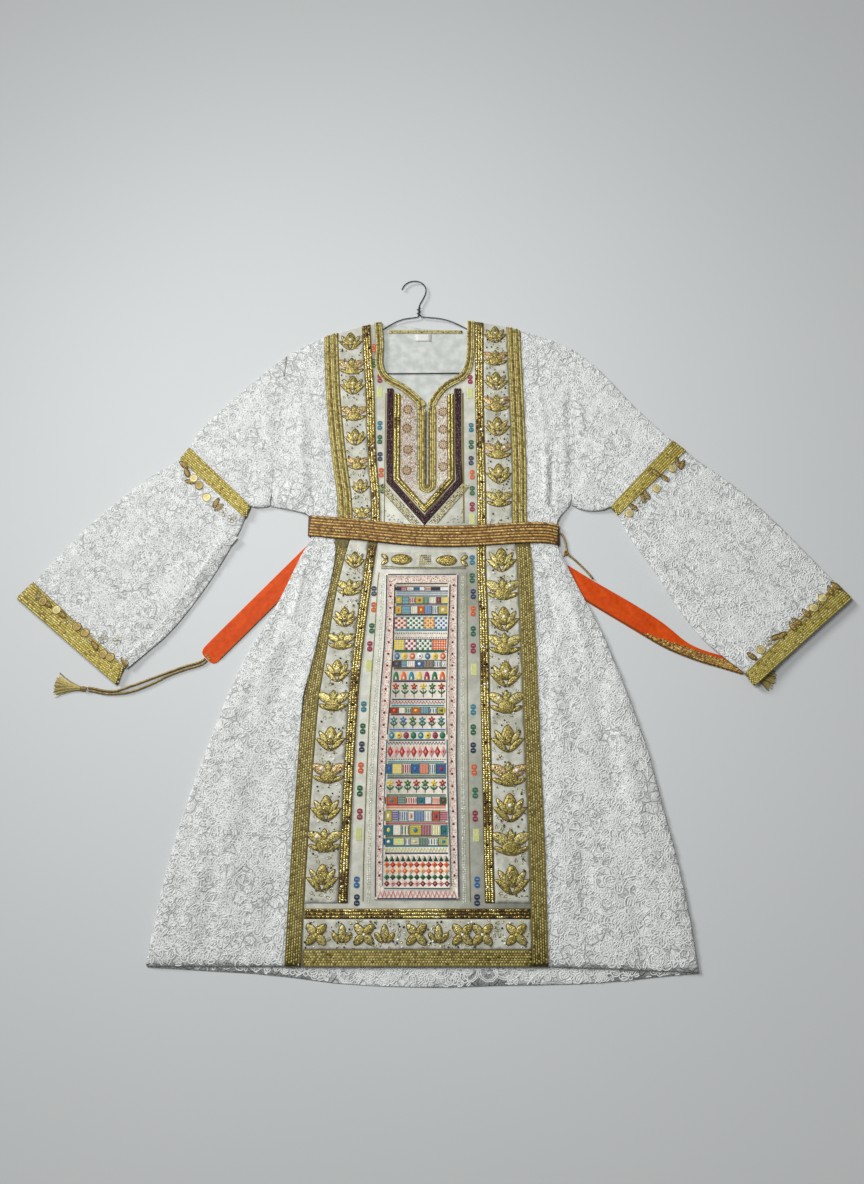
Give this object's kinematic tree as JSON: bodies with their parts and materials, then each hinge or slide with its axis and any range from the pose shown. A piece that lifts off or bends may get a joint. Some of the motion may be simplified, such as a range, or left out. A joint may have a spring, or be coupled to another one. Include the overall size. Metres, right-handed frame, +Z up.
{
  "type": "embroidered lace dress with belt on a wire hanger, laid flat",
  "caption": "Long lace tunic dress with wide sleeves, a gold-embroidered front panel and a corded belt, laid flat on a wire hanger.",
  "frame": {"origin": "on the surface that the dress lies on, under the middle of the dress's outline seen from above", "axes": "+Z up out of the surface, towards the viewer of the dress's front; +Y from hem to neck; +X to the right of the dress as it is seen from the front"},
  "size_m": [1.3716, 1.1819, 0.0136],
  "materials": {
    "lace": "white floral corded lace, matt",
    "satin": "white satin, soft sheen",
    "gold_braid": "olive-gold metallic braid",
    "gold_flowers": "white satin with raised gold thread flowers",
    "dark_beads": "dark purple-brown beaded band",
    "bands": "bands of many-coloured embroidery",
    "belt_cord": "brown-gold cords",
    "orange_satin": "orange satin",
    "wire": "dark coated wire",
    "label": "plain white woven label"
  },
  "bodies": {
    "root": {"back_panel": "lace", "front_side_left": "lace", "front_side_right": "lace", "upper_sleeve_left": "lace", "upper_sleeve_right": "lace", "lower_sleeve_left": "lace", "lower_sleeve_right": "lace", "front_panel": "satin", "elbow_band_left": "gold_braid", "elbow_band_right": "gold_braid", "cuff_band_left": "gold_braid", "cuff_band_right": "gold_braid", "outer_braid_left": "gold_braid", "outer_braid_right": "gold_braid", "hem_braid": "gold_braid", "sequin_braid_left": "gold_braid", "sequin_braid_right": "gold_braid", "sequin_band": "gold_braid", "neck_binding_left": "gold_braid", "neck_binding_right": "gold_braid", "neck_binding_back": "gold_braid", "slit_braid": "gold_braid", "plastron_braid": "gold_braid", "tassel_left": "gold_braid", "tassel_right": "gold_braid", "motif_strip_left": "gold_flowers", "motif_strip_right": "gold_flowers", "hem_motif_strip": "gold_flowers", "oval_strip": "gold_flowers", "plastron_band": "dark_beads", "colour_panel": "bands", "belt": "belt_cord", "cord_left_upper": "belt_cord", "cord_left_lower": "belt_cord", "cord_right": "belt_cord", "belt_end_left": "orange_satin", "belt_end_right": "orange_satin", "hanger": "wire", "neck_label": "label"}
  },
  "joints": []
}
